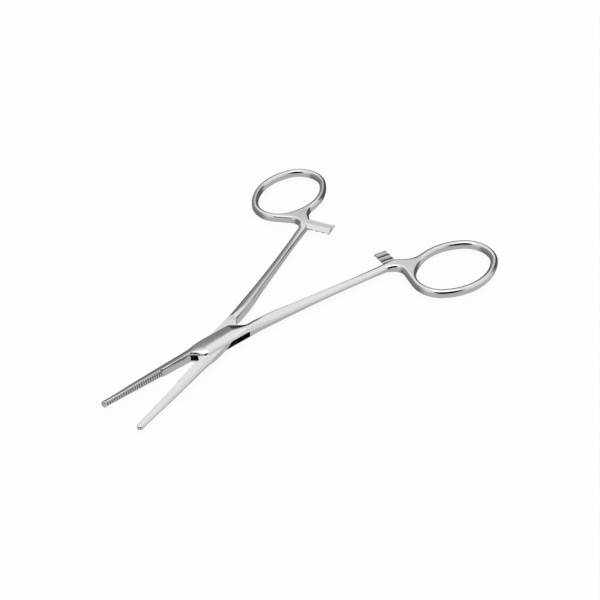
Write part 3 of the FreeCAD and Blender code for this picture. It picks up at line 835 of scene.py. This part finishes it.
# %% Nodes for brightness by direction
PLUS_X, CEILING_SIDE = (1.0, 0.0, 0.0), (0.16, -0.19, 1.0)
FAR_SIDE, CAMERA_SIDE = (0.19, -0.98, 0.0), (-0.709, 0.496, 0.5)
FROM_PLUS_X, FROM_FAR_FLOOR = (-1.0, 0.0, 0.0), (-0.35, 0.937, 0.0)


def dot_level(nodes, links, source, towards, span, levels):
    """Brightness that goes smoothly between two levels with the dot product with a direction."""
    heading = nodes.new("ShaderNodeVectorMath")
    heading.operation = "DOT_PRODUCT"
    heading.inputs[1].default_value = towards
    links.new(source, heading.inputs[0])
    level = nodes.new("ShaderNodeMapRange")
    level.interpolation_type = "SMOOTHSTEP"
    level.inputs["From Min"].default_value, level.inputs["From Max"].default_value = span
    level.inputs["To Min"].default_value, level.inputs["To Max"].default_value = levels
    links.new(heading.outputs["Value"], level.inputs["Value"])
    return level.outputs["Result"]


def combined(nodes, links, operation, first, second):
    """Result of one arithmetic step on two values."""
    step = nodes.new("ShaderNodeMath")
    step.operation = operation
    links.new(first, step.inputs[0])
    links.new(second, step.inputs[1])
    return step.outputs[0]


def blended(nodes, links, share, value, other):
    """A linked value, blended towards a constant by a share."""
    mix = nodes.new("ShaderNodeMix")
    mix.data_type = "FLOAT"
    mix.inputs[3].default_value = other
    links.new(share, mix.inputs[0])
    links.new(value, mix.inputs[2])
    return mix.outputs[0]


print("length of the ceiling's direction", round(Vector(CEILING_SIDE).length, 3))

# %% [markdown]
# ## Floor
# The floor is white to the camera, and keeps a small share of real shading for the shadow.
# Reflections find it grey, darker towards +x and darkest beyond the instrument.

# %% Floor
FLOOR_HALF, FLOOR_GLOW_SHARE = 1.6, 0.93


def floor_material():
    """Pale floor, white to the camera and grey to reflections, with a share left for shadow.

    The grey is one factor that falls towards +x times one that falls beyond the instrument.
    """
    material = bpy.data.materials.new("studio_floor")
    material.use_nodes = True
    nodes, links = material.node_tree.nodes, material.node_tree.links
    shader = nodes["Principled BSDF"]
    shader.inputs["Base Color"].default_value = (0.9, 0.9, 0.9, 1)
    shader.inputs["Roughness"].default_value = 0.9
    shader.inputs["Specular IOR Level"].default_value = 0.0
    path = nodes.new("ShaderNodeLightPath").outputs
    seen = combined(nodes, links, "MAXIMUM", path["Is Camera Ray"], path["Is Glossy Ray"])
    share = nodes.new("ShaderNodeMath")
    share.operation = "MULTIPLY"
    share.inputs[1].default_value = FLOOR_GLOW_SHARE
    links.new(seen, share.inputs[0])
    incoming = nodes.new("ShaderNodeNewGeometry").outputs["Incoming"]
    rightward = dot_level(nodes, links, incoming, FROM_PLUS_X, (0.1, 0.6), (0.58, 0.2))
    beyond = dot_level(nodes, links, incoming, FROM_FAR_FLOOR, (0.68, 0.78), (1.0, 0.12))
    reflected = combined(nodes, links, "MULTIPLY", rightward, beyond)
    glow = nodes.new("ShaderNodeEmission")
    links.new(blended(nodes, links, path["Is Camera Ray"], reflected, 1.0), glow.inputs["Strength"])
    mix = nodes.new("ShaderNodeMixShader")
    links.new(share.outputs[0], mix.inputs[0])
    links.new(shader.outputs[0], mix.inputs[1])
    links.new(glow.outputs[0], mix.inputs[2])
    links.new(mix.outputs[0], nodes["Material Output"].inputs["Surface"])
    return material


corners = [(-FLOOR_HALF, -FLOOR_HALF, 0), (FLOOR_HALF, -FLOOR_HALF, 0), (FLOOR_HALF, FLOOR_HALF, 0),
    (-FLOOR_HALF, FLOOR_HALF, 0)]
floor_mesh = bpy.data.meshes.new("floor")
floor_mesh.from_pydata(corners, [], [(0, 1, 2, 3)])
floor_mesh.materials.append(floor_material())
floor = bpy.data.objects.new("floor", floor_mesh)
bpy.context.scene.collection.objects.link(floor)
print("floor", 2 * FLOOR_HALF, "m wide")

# %% [markdown]
# ## Room
# The room is the world's brightness as a function of direction, so it needs no walls that could
# stand in the way. The camera sees it white.

# %% Room
CEILING = 1.08


def room():
    """World: walls = sides times beyond, then a mix to the ceiling by lit, then times the spot."""
    world = bpy.data.worlds.new("room")
    bpy.context.scene.world = world
    world.use_nodes = True
    nodes, links = world.node_tree.nodes, world.node_tree.links
    place = nodes.new("ShaderNodeTexCoord").outputs["Generated"]
    lit = dot_level(nodes, links, place, CEILING_SIDE, (0.6, 0.88), (0.0, 1.0))
    sides = dot_level(nodes, links, place, PLUS_X, (0.1, 0.7), (0.9, 0.3))
    beyond = dot_level(nodes, links, place, FAR_SIDE, (0.7, 0.79), (1.0, 0.08))
    spot = dot_level(nodes, links, place, CAMERA_SIDE, (0.8, 0.88), (1.0, 0.01))
    walls = combined(nodes, links, "MULTIPLY", sides, beyond)
    tent = blended(nodes, links, lit, walls, CEILING)
    level = combined(nodes, links, "MULTIPLY", tent, spot)
    seen = nodes.new("ShaderNodeLightPath").outputs["Is Camera Ray"]
    ground = nodes["Background"]
    ground.inputs["Color"].default_value = (1, 1, 1, 1)
    links.new(blended(nodes, links, seen, level, 1.0), ground.inputs["Strength"])


room()
print("camera", round(math.degrees(back.angle(Vector(CAMERA_SIDE)))), "degrees off the dark spot's middle")

# %% [markdown]
# ## Key light
# One broad lamp above the box, a little towards -x, adds a soft shadow on the floor. It is large
# and weak, because the tent does most of the lighting.

# %% Key light
KEY_PLACE, KEY_AIM = Vector((-0.15, 0.0, 0.7)), Vector((0, -0.03, 0))
key_data = bpy.data.lights.new("key", "AREA")
key_data.shape = "RECTANGLE"
key_data.size, key_data.size_y = 0.5, 0.35
key_data.energy = 0.7
key = bpy.data.objects.new("key", key_data)
key.location = KEY_PLACE
key.rotation_euler = (KEY_AIM - KEY_PLACE).to_track_quat("-Z", "Y").to_euler()
bpy.context.scene.collection.objects.link(key)
bpy.context.scene.view_settings.view_transform = "Standard"
print("key light of", round(key_data.energy, 2), "W")

# %% [markdown]
# ## Finish
# The last cell brings the scene up to date.

# %% End
bpy.context.view_layer.update()
